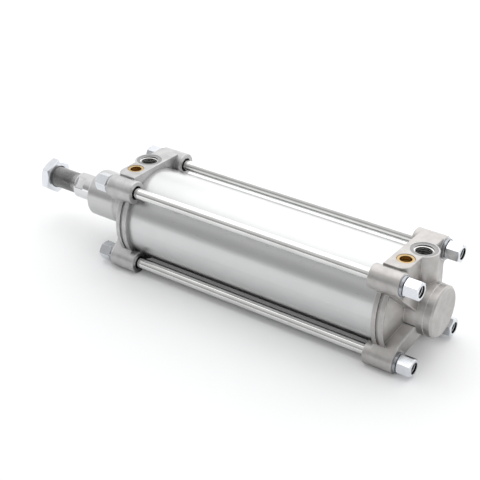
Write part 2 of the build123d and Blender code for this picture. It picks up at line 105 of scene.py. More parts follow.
class Wiring:
    """Adds nodes to one tree and feeds their sockets."""

    def __init__(self, tree: bpy.types.NodeTree) -> None:
        """Keeps the tree to work on."""
        self.tree = tree

    def feed(self, socket: bpy.types.NodeSocket, value: object) -> None:
        """Links a socket to another, or sets its value.

        Args:
            socket: The input to feed.
            value: An output socket, or a plain value.
        """
        if isinstance(value, bpy.types.NodeSocket):
            self.tree.links.new(value, socket)
        else:
            socket.default_value = value

    def add(
        self, kind: str, inputs: dict[str | int, object] | None = None, **settings: object
    ) -> bpy.types.Node:
        """Adds a node.

        Args:
            kind: The node's type name.
            inputs: Values or sockets by input name or number.
            **settings: Attributes of the node itself.

        Returns:
            The new node.
        """
        node = self.tree.nodes.new(kind)
        for name, value in settings.items():
            setattr(node, name, value)
        for key, value in (inputs or {}).items():
            self.feed(node.inputs[key], value)
        return node

    def group(self, tree: bpy.types.NodeTree, inputs: dict[str, object]) -> bpy.types.Node:
        """Adds a shader group, with values or sockets by input name."""
        return self.add("ShaderNodeGroup", inputs, node_tree=tree)

    def calc(self, operation: str, *values: object) -> bpy.types.NodeSocket:
        """Adds one Math node, fed in order, and returns its output."""
        return self.add("ShaderNodeMath", dict(enumerate(values)), operation=operation).outputs[0]

    def vector(self, operation: str, *values: object) -> bpy.types.NodeSocket:
        """Adds one Vector Math node and returns its vector, or its number if it gives one."""
        node = self.add("ShaderNodeVectorMath", dict(enumerate(values)), operation=operation)
        return node.outputs["Value" if operation in ("DOT_PRODUCT", "LENGTH") else "Vector"]

    def spread(
        self, value: object, low: float, high: float, to_low: float, to_high: float
    ) -> bpy.types.NodeSocket:
        """Maps one range of numbers onto another, held at its ends."""
        node = self.add("ShaderNodeMapRange", {0: value, 1: low, 2: high, 3: to_low, 4: to_high})
        return node.outputs[0]

    def blend(self, share: object, first: object, second: object) -> bpy.types.NodeSocket:
        """Mixes two colours.

        Args:
            share: How much of the second colour shows.
            first: A colour or a colour socket.
            second: A colour or a colour socket.

        Returns:
            The mixed colour.
        """
        node = self.add("ShaderNodeMix", data_type="RGBA")
        self.feed(node.inputs[0], share)
        self.feed(node.inputs[6], first)
        self.feed(node.inputs[7], second)
        return node.outputs[2]


def shade(colour: Sequence[float], factor: float = 1.0) -> tuple[float, float, float, float]:
    """Colour with its alpha, multiplied by a factor."""
    return (colour[0] * factor, colour[1] * factor, colour[2] * factor, 1.0)


def start_material(name: str) -> tuple[bpy.types.Material, Wiring]:
    """Starts a material without nodes.

    Args:
        name: The material's name.

    Returns:
        The material and the wiring of its tree.
    """
    material = bpy.data.materials.new(name)
    material.use_nodes = True
    material.node_tree.nodes.clear()
    return material, Wiring(material.node_tree)


class Effects:
    """The shader node groups that several finishes share."""

    SAMPLES = 6

    def __init__(self) -> None:
        """Builds each group once."""
        self.grain = self._grain()
        self.edge = self._edge()
        self.zone = self._zone()
        self.turning = self._turning()
        self.recess = self._recess()

    @staticmethod
    def _start(
        name: str, inputs: Sequence[tuple[str, str, object]], outputs: Sequence[tuple[str, str]]
    ) -> tuple[bpy.types.NodeTree, Wiring, bpy.types.Node, bpy.types.Node]:
        """Starts a group with its sockets.

        Args:
            name: The group's name.
            inputs: Name, socket type and default of each input.
            outputs: Name and socket type of each output.

        Returns:
            The tree, its wiring, the input node and the output node.
        """
        tree = bpy.data.node_groups.new(name, "ShaderNodeTree")
        for label, kind, default in inputs:
            tree.interface.new_socket(label, in_out="INPUT", socket_type=kind).default_value = default
        for label, kind in outputs:
            tree.interface.new_socket(label, in_out="OUTPUT", socket_type=kind)
        wiring = Wiring(tree)
        return tree, wiring, wiring.add("NodeGroupInput"), wiring.add("NodeGroupOutput")

    def _grain(self) -> bpy.types.NodeTree:
        """Fine grain over broad clouds, stretched along any axis.

        Returns:
            A group that puts out a fine mask, a broad mask and a height.
        """
        tree, wiring, given, out = self._start(
            "grain",
            (
                ("Scale", "NodeSocketFloat", 2000.0),
                ("Stretch", "NodeSocketVector", (1.0, 1.0, 1.0)),
                ("Cloud scale", "NodeSocketFloat", 40.0),
            ),
            (("Fine", "NodeSocketFloat"), ("Cloud", "NodeSocketFloat"), ("Height", "NodeSocketFloat")),
        )
        place = wiring.add("ShaderNodeTexCoord").outputs["Object"]
        pulled = wiring.vector("MULTIPLY", place, given.outputs["Stretch"])
        fine = wiring.add(
            "ShaderNodeTexNoise",
            {"Vector": pulled, "Scale": given.outputs["Scale"], "Detail": 3.0, "Roughness": 0.6},
        )
        cloud = wiring.add(
            "ShaderNodeTexNoise",
            {"Vector": place, "Scale": given.outputs["Cloud scale"], "Detail": 4.0, "Roughness": 0.55},
        )
        wiring.feed(out.inputs["Fine"], wiring.add("ShaderNodeClamp", {0: fine.outputs[0]}).outputs[0])
        wiring.feed(out.inputs["Cloud"], wiring.spread(cloud.outputs[0], 0.3, 0.7, 0.0, 1.0))
        wiring.feed(out.inputs["Height"], fine.outputs[0])
        return tree

    def _edge(self) -> bpy.types.NodeTree:
        """Rounded edges and a bright line on them: wear from handling, and a painted highlight.

        Returns:
            A group that puts out a mask for the wear and the painted highlight, and a rounded normal.
        """
        tree, wiring, given, out = self._start(
            "soft_edge",
            (("Radius", "NodeSocketFloat", 0.0004), ("Sharpness", "NodeSocketFloat", 6.0)),
            (("Wear and highlight", "NodeSocketFloat"), ("Normal", "NodeSocketVector")),
        )
        bevel = wiring.add("ShaderNodeBevel", {"Radius": given.outputs["Radius"]}, samples=self.SAMPLES)
        true_normal = wiring.add("ShaderNodeNewGeometry").outputs["Normal"]
        straight = wiring.vector("DOT_PRODUCT", bevel.outputs[0], true_normal)
        turned = wiring.calc("MULTIPLY", wiring.calc("SUBTRACT", 1.0, straight), given.outputs["Sharpness"])
        wiring.feed(out.inputs["Wear and highlight"], wiring.add("ShaderNodeClamp", {0: turned}).outputs[0])
        wiring.feed(out.inputs["Normal"], bevel.outputs[0])
        return tree

    def _zone(self) -> bpy.types.NodeTree:
        """Ring or disc about an axis, between two heights along it.

        Returns:
            A group that puts out a mask and the distance from the axis.
        """
        tree, wiring, given, out = self._start(
            "round_zone",
            (
                ("Centre", "NodeSocketVector", (0.0, 0.0, 0.0)),
                ("Along", "NodeSocketVector", (0.0, 0.0, 1.0)),
                ("Inner", "NodeSocketFloat", 0.0),
                ("Outer", "NodeSocketFloat", 0.01),
                ("Low", "NodeSocketFloat", -1.0),
                ("High", "NodeSocketFloat", 1.0),
            ),
            (("Mask", "NodeSocketFloat"), ("Distance", "NodeSocketFloat")),
        )
        place = wiring.add("ShaderNodeTexCoord").outputs["Object"]
        away = wiring.vector("SUBTRACT", place, given.outputs["Centre"])
        height = wiring.vector("DOT_PRODUCT", away, given.outputs["Along"])
        rise = wiring.add(
            "ShaderNodeVectorMath", {0: given.outputs["Along"], "Scale": height}, operation="SCALE"
        )
        distance = wiring.vector("LENGTH", wiring.vector("SUBTRACT", away, rise.outputs[0]))
        mask = wiring.calc("GREATER_THAN", distance, given.outputs["Inner"])
        for test, value, limit in (
            ("LESS_THAN", distance, "Outer"),
            ("GREATER_THAN", height, "Low"),
            ("LESS_THAN", height, "High"),
        ):
            mask = wiring.calc("MULTIPLY", mask, wiring.calc(test, value, given.outputs[limit]))
        wiring.feed(out.inputs["Mask"], mask)
        wiring.feed(out.inputs["Distance"], distance)
        return tree

    def _turning(self) -> bpy.types.NodeTree:
        """Fine rings that a lathe or a facing tool leaves.

        Returns:
            A group that turns a distance from the axis into a height.
        """
        tree, wiring, given, out = self._start(
            "turning_marks",
            (("Distance", "NodeSocketFloat", 0.0), ("Feed", "NodeSocketFloat", 0.0002)),
            (("Height", "NodeSocketFloat"),),
        )
        steps = wiring.calc("DIVIDE", given.outputs["Distance"], given.outputs["Feed"])
        noise = wiring.add(
            "ShaderNodeTexNoise", {"W": steps, "Scale": 1.0, "Detail": 2.0}, noise_dimensions="1D"
        )
        wiring.feed(out.inputs["Height"], noise.outputs[0])
        return tree

    def _recess(self) -> bpy.types.NodeTree:
        """Darkening in corners that an occlusion test finds hidden: painted shade, and soil that cloths and
        brushes miss.

        Returns:
            A group that puts out a mask, 1 in the deepest corner.
        """
        tree, wiring, given, out = self._start(
            "corner_shade_and_soil",
            (("Reach", "NodeSocketFloat", 0.006), ("Amount", "NodeSocketFloat", 0.6)),
            (("Mask", "NodeSocketFloat"),),
        )
        occlusion = wiring.add(
            "ShaderNodeAmbientOcclusion", {"Distance": given.outputs["Reach"]}, samples=self.SAMPLES
        )
        place = wiring.add("ShaderNodeTexCoord").outputs["Object"]
        patchy = wiring.add(
            "ShaderNodeTexNoise", {"Vector": place, "Scale": 220.0, "Detail": 3.0}
        ).outputs[0]
        hidden = wiring.spread(occlusion.outputs["AO"], 0.15, 0.75, 1.0, 0.0)
        broken = wiring.calc("MULTIPLY", hidden, wiring.spread(patchy, 0.3, 0.6, 0.5, 1.0))
        wiring.feed(out.inputs["Mask"], wiring.calc("MULTIPLY", broken, given.outputs["Amount"]))
        return tree


class Mark(Enum):
    """What a round zone of a finish looks like."""

    MACHINED = "machined"
    FACED = "faced"
    SPOT_FACED = "spot_faced"
    BORED = "bored"
    SHADOW = "shadow"


# Near-black of painted shade, in gaps, bores and corners.
PAINTED_SHADE_COLOUR = (0.05, 0.045, 0.04)
# Near-white of worn edges and of the painted highlight on them.
WEAR_AND_HIGHLIGHT_COLOUR = (0.86, 0.86, 0.86)


@dataclass(frozen=True)
class Cut:
    """Greys and gloss that a cutting tool leaves."""

    dark: float
    light: float
    roughness: tuple[float, float]


CUTS = {
    Mark.MACHINED: Cut(0.80, 0.90, (0.22, 0.34)),
    Mark.FACED: Cut(0.56, 0.68, (0.28, 0.40)),
    Mark.SPOT_FACED: Cut(0.25, 0.35, (0.30, 0.42)),
    # Painted shade: the port's bore is dark grey, with turning marks.
    Mark.BORED: Cut(0.20, 0.30, (0.30, 0.42)),
}


@dataclass(frozen=True)
class Zone:
    """Round part of a surface with its own look. Sizes are in millimetres."""

    mark: Mark
    centre: tuple[float, float, float]
    axis: Axis
    inner: float
    outer: float
    low: float
    high: float


@dataclass(frozen=True)
class MetalFinish:
    """A metal surface: colour, gloss, grain, edges with wear and a painted highlight, corners with painted
    shade and soil, and round zones, machined or in painted shade.
    """

    name: str
    colour: tuple[float, float, float]
    cloud_colour: tuple[float, float, float]
    roughness: tuple[float, float]
    grain_scale: float = 2500.0
    stretch: tuple[float, float, float] = (1.0, 1.0, 1.0)
    cloud_scale: float = 45.0
    bump: float = 0.12
    bump_depth: float = 0.02
    edge_radius: float = 0.35
    edge_gain: float = 0.25
    # Painted shade and soil in hidden corners: amount, colour and reach.
    shade_and_soil: float = 0.35
    shade_and_soil_colour: tuple[float, float, float] = PAINTED_SHADE_COLOUR
    shade_and_soil_reach: float = 6.0
    soil_roughness: float = 0.25
    zones: tuple[Zone, ...] = ()

    def build(self, effects: Effects) -> bpy.types.Material:
        """Builds the material.

        Args:
            effects: The shared node groups.

        Returns:
            The new material.
        """
        material, wiring = start_material(self.name)
        output = wiring.add("ShaderNodeOutputMaterial")
        shader = wiring.add("ShaderNodeBsdfPrincipled", {"Metallic": 1.0})
        wiring.feed(output.inputs["Surface"], shader.outputs[0])
        grain = wiring.group(
            effects.grain,
            {"Scale": self.grain_scale, "Stretch": self.stretch, "Cloud scale": self.cloud_scale},
        )
        edge = wiring.group(effects.edge, {"Radius": self.edge_radius * MM})
        shade_and_soil = wiring.group(effects.recess, {"Reach": self.shade_and_soil_reach * MM, "Amount": self.shade_and_soil})
        colour = wiring.blend(grain.outputs["Cloud"], shade(self.colour), shade(self.cloud_colour))
        rough = wiring.spread(grain.outputs["Fine"], 0.0, 1.0, *self.roughness)
        height = grain.outputs["Height"]
        for zone in self.zones:
            colour, rough, height = self._add_zone(wiring, effects, zone, colour, rough, height)
        # Wear and painted highlight: edges lighten towards a near-white.
        worn_and_lit = wiring.calc("MULTIPLY", edge.outputs["Wear and highlight"], self.edge_gain)
        colour = wiring.blend(worn_and_lit, colour, shade(WEAR_AND_HIGHLIGHT_COLOUR))
        # Painted shade and soil: hidden corners blend towards a dark colour.
        colour = wiring.blend(shade_and_soil.outputs["Mask"], colour, shade(self.shade_and_soil_colour))
        rough = wiring.calc("ADD", rough, wiring.calc("MULTIPLY", shade_and_soil.outputs["Mask"], self.soil_roughness))
        bump = wiring.add(
            "ShaderNodeBump",
            {
                "Strength": self.bump,
                "Distance": self.bump_depth * MM,
                "Height": height,
                "Normal": edge.outputs["Normal"],
            },
        )
        wiring.feed(shader.inputs["Base Color"], colour)
        wiring.feed(shader.inputs["Roughness"], rough)
        wiring.feed(shader.inputs["Normal"], bump.outputs[0])
        return material

    def _add_zone(
        self,
        wiring: Wiring,
        effects: Effects,
        zone: Zone,
        colour: bpy.types.NodeSocket,
        rough: bpy.types.NodeSocket,
        height: bpy.types.NodeSocket,
    ) -> tuple[bpy.types.NodeSocket, bpy.types.NodeSocket, bpy.types.NodeSocket]:
        """Lays one round zone over what is there.

        Args:
            wiring: The material's wiring.
            effects: The shared node groups.
            zone: The zone to add.
            colour: Colour so far.
            rough: Roughness so far.
            height: Height so far.

        Returns:
            Colour, roughness and height with the zone in them.
        """
        place = wiring.group(
            effects.zone,
            {
                "Centre": Vector(zone.centre) * MM,
                "Along": zone.axis.value,
                "Inner": zone.inner * MM,
                "Outer": zone.outer * MM,
                "Low": zone.low * MM,
                "High": zone.high * MM,
            },
        )
        mask = place.outputs["Mask"]
        if zone.mark is Mark.SHADOW:
            return wiring.blend(mask, colour, shade(PAINTED_SHADE_COLOUR)), rough, height
        streak = wiring.group(effects.turning, {"Distance": place.outputs["Distance"]}).outputs["Height"]
        cut = CUTS[zone.mark]
        bright = wiring.blend(streak, shade((cut.dark,) * 3), shade((cut.light,) * 3))
        smooth = wiring.spread(streak, 0.3, 0.7, *cut.roughness)
        unmasked = wiring.calc("SUBTRACT", 1.0, mask)
        rough = wiring.calc("MULTIPLY_ADD", smooth, mask, wiring.calc("MULTIPLY", rough, unmasked))
        height = wiring.calc("MULTIPLY_ADD", streak, mask, wiring.calc("MULTIPLY", height, unmasked))
        return wiring.blend(mask, colour, bright), rough, height


@dataclass(frozen=True)
class MouldedFinish:
    """A rubber or plastic surface, dull and slightly uneven."""

    name: str
    colour: tuple[float, float, float]
    roughness: tuple[float, float] = (0.45, 0.65)
    grain_scale: float = 1500.0
    bump: float = 0.1
    bump_depth: float = 0.02
    cloud_gain: float = 1.35

    def build(self, effects: Effects) -> bpy.types.Material:
        """Builds the material.

        Args:
            effects: The shared node groups.

        Returns:
            The new material.
        """
        material, wiring = start_material(self.name)
        output = wiring.add("ShaderNodeOutputMaterial")
        shader = wiring.add("ShaderNodeBsdfPrincipled", {"Specular IOR Level": 0.4})
        wiring.feed(output.inputs["Surface"], shader.outputs[0])
        grain = wiring.group(effects.grain, {"Scale": self.grain_scale})
        colour = wiring.blend(grain.outputs["Cloud"], shade(self.colour), shade(self.colour, self.cloud_gain))
        rough = wiring.spread(grain.outputs["Fine"], 0.0, 1.0, *self.roughness)
        bump = wiring.add(
            "ShaderNodeBump",
            {"Strength": self.bump, "Distance": self.bump_depth * MM, "Height": grain.outputs["Height"]},
        )
        wiring.feed(shader.inputs["Base Color"], colour)
        wiring.feed(shader.inputs["Roughness"], rough)
        wiring.feed(shader.inputs["Normal"], bump.outputs[0])
        return material


@dataclass(frozen=True)
class CoverMarks:
    """Machined faces of one cast cover, and painted shade in its port bore and in the gap round the needle's
    collar.
    """

    end: End
    pilot: tuple[float, float] | None = None
    pilot_radius: float = 22.6
    port_bore: float = 8.6
    port_spot: float = 11.8
    bore_heights: tuple[float, float] = (-13.0, -0.6)
    spot_heights: tuple[float, float] = (-1.0, -0.3)
    collar_gap: float = 0.25
    gap_heights: tuple[float, float] = (-0.4, 1.0)
    washer_bore: float = 6.3
    washer_radius: float = 9.6
    washer_reach: float = 0.2

    def zones(self) -> tuple[Zone, ...]:
        """Lays out the zones.

        Returns:
            The port's spot face, the port's bore in painted shade, the painted shade in the gap round the
            needle's collar, the pilot if it is turned, and the washers' seats.
        """
        port = (*mount_place(f"{self.end.value}_port")[:2], PLATEAU)
        collar = f"{self.end.value}_needle_collar"
        collar_x, collar_y = span(collar, "x"), span(collar, "y")
        collar_radius = (collar_x[1] - collar_x[0]) / 2.0
        needle = (sum(collar_x) / 2.0, sum(collar_y) / 2.0, PLATEAU)
        washers = span(f"{self.end.value}_tie_rod_washers", "x")
        seat = washers[1] if self.end is End.REAR else washers[0]
        zones = [
            Zone(Mark.SPOT_FACED, port, Axis.Z, self.port_bore, self.port_spot, *self.spot_heights),
            # Painted shade inside the port's bore.
            Zone(Mark.BORED, port, Axis.Z, 0.0, self.port_bore, *self.bore_heights),
            Zone(
                Mark.SHADOW, needle, Axis.Z, collar_radius, collar_radius + self.collar_gap,
                *self.gap_heights,
            ),
        ]
        if self.pilot:
            zones.append(Zone(Mark.FACED, (0.0, 0.0, 0.0), Axis.X, 0.0, self.pilot_radius, *self.pilot))
        for y, z in CORNERS:
            zones.append(Zone(
                Mark.MACHINED, (seat, y, z), Axis.X,
                self.washer_bore, self.washer_radius, -self.washer_reach, self.washer_reach,
            ))
        return tuple(zones)


class Finishes:
    """Every finish of the cylinder, by the node, material slot or thread that wears it."""

    NUT_BORE = 5.2
    NUT_SPAN = (-10.0, 340.0)

    def __init__(self, effects: Effects) -> None:
        """Builds the materials.

        Args:
            effects: The shared node groups.
        """
        along_rods = (8.0, 400.0, 400.0)
        nut_bores = tuple(
            Zone(Mark.SHADOW, (0.0, y, z), Axis.X, 0.0, self.NUT_BORE, *self.NUT_SPAN) for y, z in CORNERS
        )
        cast = dict(
            roughness=(0.32, 0.48),
            grain_scale=1300.0,
            cloud_scale=110.0,
            bump=0.55,
            bump_depth=0.05,
            edge_radius=0.6,
            edge_gain=0.85,
            shade_and_soil=0.70,
            shade_and_soil_reach=8.0,
        )
        plans = {
            "rear_cover": MetalFinish(
                "cast_rear", (0.455, 0.438, 0.422), (0.57, 0.553, 0.538),
                zones=CoverMarks(End.REAR).zones(), **cast,
            ),
            "front_cover": MetalFinish(
                "cast_front", (0.475, 0.470, 0.470), (0.60, 0.597, 0.597),
                zones=CoverMarks(End.FRONT, pilot=(329.0, 362.0)).zones(), **cast,
            ),
            "tube": MetalFinish(
                "anodised_tube", (0.67, 0.675, 0.675), (0.70, 0.705, 0.705), (0.25, 0.33),
                grain_scale=6.0, stretch=(20.0, 300.0, 300.0), cloud_scale=22.0,
                bump=0.05, edge_gain=0.1, shade_and_soil=0.2,
            ),
            "tie_rod_steel": MetalFinish(
                "drawn_steel", (0.74, 0.745, 0.73), (0.82, 0.825, 0.81), (0.06, 0.15),
                grain_scale=6.0, stretch=along_rods, cloud_scale=60.0, bump=0.08, edge_gain=0.2, shade_and_soil=0.25,
            ),
            "zinc_steel": MetalFinish(
                "bright_zinc", (0.76, 0.785, 0.825), (0.83, 0.85, 0.88), (0.13, 0.24),
                grain_scale=900.0, cloud_scale=160.0, bump=0.10, edge_radius=0.3, edge_gain=0.4,
                shade_and_soil=0.8, shade_and_soil_reach=2.5, zones=nut_bores,
            ),
            "rod_chrome": MetalFinish(
                "hard_chrome", (0.74, 0.74, 0.75), (0.78, 0.78, 0.79), (0.06, 0.12),
                grain_scale=10.0, stretch=(300.0, 30.0, 30.0), bump=0.03, edge_gain=0.15, shade_and_soil=0.2,
            ),
            "rod_thread": MetalFinish(
                "screw_steel", (0.30, 0.30, 0.30), (0.40, 0.40, 0.40), (0.20, 0.34),
                grain_scale=1500.0, bump=0.15, edge_radius=0.15, edge_gain=0.35, shade_and_soil=0.6, shade_and_soil_reach=1.5,
            ),
            "nut_thread": MetalFinish(
                "thread_zinc", (0.62, 0.64, 0.67), (0.72, 0.74, 0.76), (0.16, 0.28),
                grain_scale=1500.0, bump=0.05, edge_radius=0.1, edge_gain=0.3, shade_and_soil=0.3, shade_and_soil_reach=1.0,
            ),
            "port_thread": MetalFinish(
                "cut_aluminium", (0.70, 0.69, 0.68), (0.78, 0.77, 0.76), (0.16, 0.26),
                grain_scale=1500.0, bump=0.05, edge_radius=0.1, edge_gain=0.3, shade_and_soil=0.25, shade_and_soil_reach=1.2,
            ),
            "brass": MetalFinish(
                "turned_brass", (0.50, 0.345, 0.155), (0.60, 0.43, 0.22), (0.18, 0.30),
                grain_scale=1200.0, bump=0.08, edge_radius=0.2, edge_gain=0.2, shade_and_soil=0.4,
                shade_and_soil_colour=(0.10, 0.05, 0.01),
            ),
            "needle_brass": MetalFinish(
                "dull_brass", (0.34, 0.20, 0.06), (0.42, 0.26, 0.09), (0.30, 0.45),
                grain_scale=1200.0, bump=0.12, shade_and_soil=0.7, shade_and_soil_colour=(0.05, 0.025, 0.008),
            ),
            "bush_bronze": MetalFinish(
                "sintered_bronze", (0.46, 0.30, 0.16), (0.54, 0.37, 0.22), (0.35, 0.5), bump=0.3, shade_and_soil=0.4,
            ),
            "piston_aluminium": MetalFinish(
                "turned_aluminium", (0.70, 0.70, 0.71), (0.76, 0.76, 0.77), (0.2, 0.34),
                grain_scale=8.0, stretch=(500.0, 20.0, 20.0), bump=0.1,
            ),
            "static_rubber": MouldedFinish("black_rubber", (0.022, 0.022, 0.022)),
            "seal_elastomer": MouldedFinish("seal_rubber", (0.045, 0.06, 0.04), (0.35, 0.5)),
            "magnet": MouldedFinish("bonded_magnet", (0.05, 0.05, 0.055)),
            "wear_ring": MouldedFinish("filled_plastic", (0.12, 0.09, 0.06)),
        }
        for end in End:
            # Painted shade: the washers are a darker copy of the nuts' zinc, for the shade at the nuts' base.
            plans[f"{end.value}_tie_rod_washers"] = MetalFinish(
                f"{end.value}_shaded_washer_zinc", (0.34, 0.355, 0.38), (0.44, 0.455, 0.48), (0.16, 0.28),
                grain_scale=900.0, bump=0.10, edge_radius=0.25, edge_gain=0.7, shade_and_soil=0.8, shade_and_soil_reach=2.5,
            )
        self.by_key = {key: plan.build(effects) for key, plan in plans.items()}

    def dress_frame(self) -> None:
        """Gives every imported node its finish."""
        slots = {entry["node"]: entry["material_slot"] for entry in frame["record"]["subparts"]}
        for node, piece in frame["nodes"].items():
            key = node if node in self.by_key else slots[node]
            piece.data.materials.clear()
            piece.data.materials.append(self.by_key[key])
            log.info("dressed %s with %s", node, self.by_key[key].name)


def keep_piece(name: str, mesh: bpy.types.Mesh, body: str, slot: str, *replaced: str) -> None:
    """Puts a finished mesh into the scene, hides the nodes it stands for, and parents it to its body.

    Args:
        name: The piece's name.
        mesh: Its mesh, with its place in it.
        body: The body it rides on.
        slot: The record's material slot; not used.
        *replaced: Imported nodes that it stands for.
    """
    piece = bpy.data.objects.new(name, mesh)
    bpy.context.scene.collection.objects.link(piece)
    if replaced:
        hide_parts(*replaced)
    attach(piece, body)
    log.info("built %s: %d faces on %s", name, len(mesh.polygons), body)


@dataclass(frozen=True)
class Ridge:
    """One thread ridge. Lengths are in millimetres, and a female ridge grows inwards."""

    radius: float
    height: float
    pitch: float
    length: float
    root_share: float
    crest_share: float
    steps_per_turn: int
    run_out: float = 0.4
    female: bool = True
    embed: float = 0.15

    def sockets(self) -> dict[str, float]:
        """Works out the tree's inputs.

        Returns:
            Values in metres and turns, by the names of the tree's sockets.
        """
        outwards = -1.0 if self.female else 1.0
        turns = self.length / self.pitch
        return {
            "Radius": self.radius * MM,
            "Height": outwards * self.height * MM,
            "Embed": outwards * self.embed * MM,
            "Pitch": self.pitch * MM,
            "Turns": turns,
            "Root share": self.root_share,
            "Crest share": self.crest_share,
            "Run-out turns": self.run_out,
            "Steps": int(turns * self.steps_per_turn) + 1,
        }


class ThreadTree:
    """Geometry tree that winds a closed thread ridge at each point of its mesh."""

    NUMBERS = (
        ("Radius", 0.01),
        ("Height", 0.001),
        ("Embed", 0.0001),
        ("Pitch", 0.0015),
        ("Turns", 10.0),
        ("Root share", 0.8),
        ("Crest share", 0.15),
        ("Run-out turns", 0.5),
    )
    MERGE = 0.000002
    ROWS = 5
    ROW_GAP = 1.0 / (ROWS - 1)

    def __init__(self) -> None:
        """Builds the tree."""
        self.tree = bpy.data.node_groups.new("thread_ridge", "GeometryNodeTree")
        sockets = self.tree.interface
        sockets.new_socket("Geometry", in_out="INPUT", socket_type="NodeSocketGeometry")
        for label, default in self.NUMBERS:
            sockets.new_socket(label, in_out="INPUT", socket_type="NodeSocketFloat").default_value = default
        sockets.new_socket("Steps", in_out="INPUT", socket_type="NodeSocketInt").default_value = 480
        sockets.new_socket("Direction", in_out="INPUT", socket_type="NodeSocketVector")
        sockets.new_socket("Finish", in_out="INPUT", socket_type="NodeSocketMaterial")
        sockets.new_socket("Geometry", in_out="OUTPUT", socket_type="NodeSocketGeometry")
        self._wire()

    def _wire(self) -> None:
        """Wires the ridge, its copies and its finish.

        A grid's long side runs along the helix. Its five rows go round the ridge's section:
        root, crest, crest, root, and the first root again, where the section closes.
        """
        wiring = Wiring(self.tree)
        given = wiring.add("NodeGroupInput").outputs
        grid = wiring.add(
            "GeometryNodeMeshGrid",
            {"Size X": 1.0, "Size Y": 1.0, "Vertices X": given["Steps"], "Vertices Y": self.ROWS},
        )
        corner = wiring.add("ShaderNodeSeparateXYZ", {0: wiring.add("GeometryNodeInputPosition").outputs[0]})
        along = wiring.calc("ADD", corner.outputs["X"], 0.5)
        around = wiring.calc("ADD", corner.outputs["Y"], 0.5)
        crest = self._rows(wiring, around, 1)
        ahead = self._rows(wiring, around, 2)
        side = wiring.calc("SUBTRACT", wiring.calc("MULTIPLY", ahead, 2.0), 1.0)
        nearest_end = wiring.calc("MINIMUM", along, wiring.calc("SUBTRACT", 1.0, along))
        turns_in = wiring.calc("MULTIPLY", nearest_end, given["Turns"])
        fullness = wiring.calc("MINIMUM", wiring.calc("DIVIDE", turns_in, given["Run-out turns"]), 1.0)
        full_height = wiring.calc("ADD", given["Height"], given["Embed"])
        rise = wiring.calc("MULTIPLY", wiring.calc("MULTIPLY", crest, full_height), fullness)
        radius = wiring.calc("ADD", wiring.calc("SUBTRACT", given["Radius"], given["Embed"]), rise)
        root_half = wiring.calc("MULTIPLY", given["Root share"], 0.5)
        crest_half = wiring.calc("MULTIPLY", given["Crest share"], 0.5)
        narrowing = wiring.calc("MULTIPLY", crest, wiring.calc("SUBTRACT", root_half, crest_half))
        half_width = wiring.calc("MULTIPLY", wiring.calc("SUBTRACT", root_half, narrowing), given["Pitch"])
        shift = wiring.calc("MULTIPLY", wiring.calc("MULTIPLY", side, half_width), fullness)
        turn_count = wiring.calc("MULTIPLY", along, given["Turns"])
        climb = wiring.calc("MULTIPLY", turn_count, given["Pitch"])
        angle = wiring.calc("MULTIPLY", turn_count, math.tau)
        place = wiring.add(
            "ShaderNodeCombineXYZ",
            {
                "X": wiring.calc("MULTIPLY", radius, wiring.calc("COSINE", angle)),
                "Y": wiring.calc("MULTIPLY", radius, wiring.calc("SINE", angle)),
                "Z": wiring.calc("ADD", climb, shift),
            },
        )
        wound = wiring.add(
            "GeometryNodeSetPosition", {"Geometry": grid.outputs["Mesh"], "Position": place.outputs[0]}
        )
        closed = wiring.add(
            "GeometryNodeMergeByDistance", {"Geometry": wound.outputs[0], "Distance": self.MERGE}
        )
        turned = wiring.add("FunctionNodeAlignRotationToVector", {"Vector": given["Direction"]}, axis="Z")
        copies = wiring.add(
            "GeometryNodeInstanceOnPoints",
            {"Points": given["Geometry"], "Instance": closed.outputs[0], "Rotation": turned.outputs[0]},
        )
        real = wiring.add("GeometryNodeRealizeInstances", {"Geometry": copies.outputs[0]})
        finished = wiring.add(
            "GeometryNodeSetMaterial", {"Geometry": real.outputs[0], "Material": given["Finish"]}
        )
        wiring.feed(wiring.add("NodeGroupOutput").inputs[0], finished.outputs[0])

    def _rows(self, wiring: Wiring, around: bpy.types.NodeSocket, first: int) -> bpy.types.NodeSocket:
        """Marks one row of the grid and the next, counted from 0."""
        away = wiring.calc("ABSOLUTE", wiring.calc("SUBTRACT", around, (first + 0.5) * self.ROW_GAP))
        return wiring.calc("LESS_THAN", away, 0.8 * self.ROW_GAP)

    def wind(
        self,
        starts: Sequence[tuple[float, float, float]],
        direction: tuple[float, float, float],
        finish: bpy.types.Material,
        ridge: Ridge,
    ) -> bpy.types.Mesh:
        """Winds one ridge at each start and returns them as one plain mesh.

        Args:
            starts: Where each ridge starts, in metres.
            direction: The way the ridges climb.
            finish: Their material.
            ridge: Their sizes.

        Returns:
            A closed mesh with its normals outwards.
        """
        seed = bpy.data.meshes.new("thread_seed")
        seed.from_pydata(list(starts), [], [])
        carrier = bpy.data.objects.new("thread_seed", seed)
        bpy.context.scene.collection.objects.link(carrier)
        modifier = carrier.modifiers.new("thread", "NODES")
        modifier.node_group = self.tree
        values = {**ridge.sockets(), "Direction": direction, "Finish": finish}
        for item in self.tree.interface.items_tree:
            if item.in_out == "INPUT" and item.name in values:
                modifier[item.identifier] = values[item.name]
        bpy.context.view_layer.update()
        graph = bpy.context.evaluated_depsgraph_get()
        mesh = bpy.data.meshes.new_from_object(carrier.evaluated_get(graph))
        carrier.modifiers.remove(modifier)
        bpy.data.objects.remove(carrier)
        bpy.data.meshes.remove(seed)
        shape = bmesh.new()
        shape.from_mesh(mesh)
        bmesh.ops.remove_doubles(shape, verts=shape.verts, dist=WELD)
        bmesh.ops.recalc_face_normals(shape, faces=shape.faces)
        shape.to_mesh(mesh)
        shape.free()
        return mesh


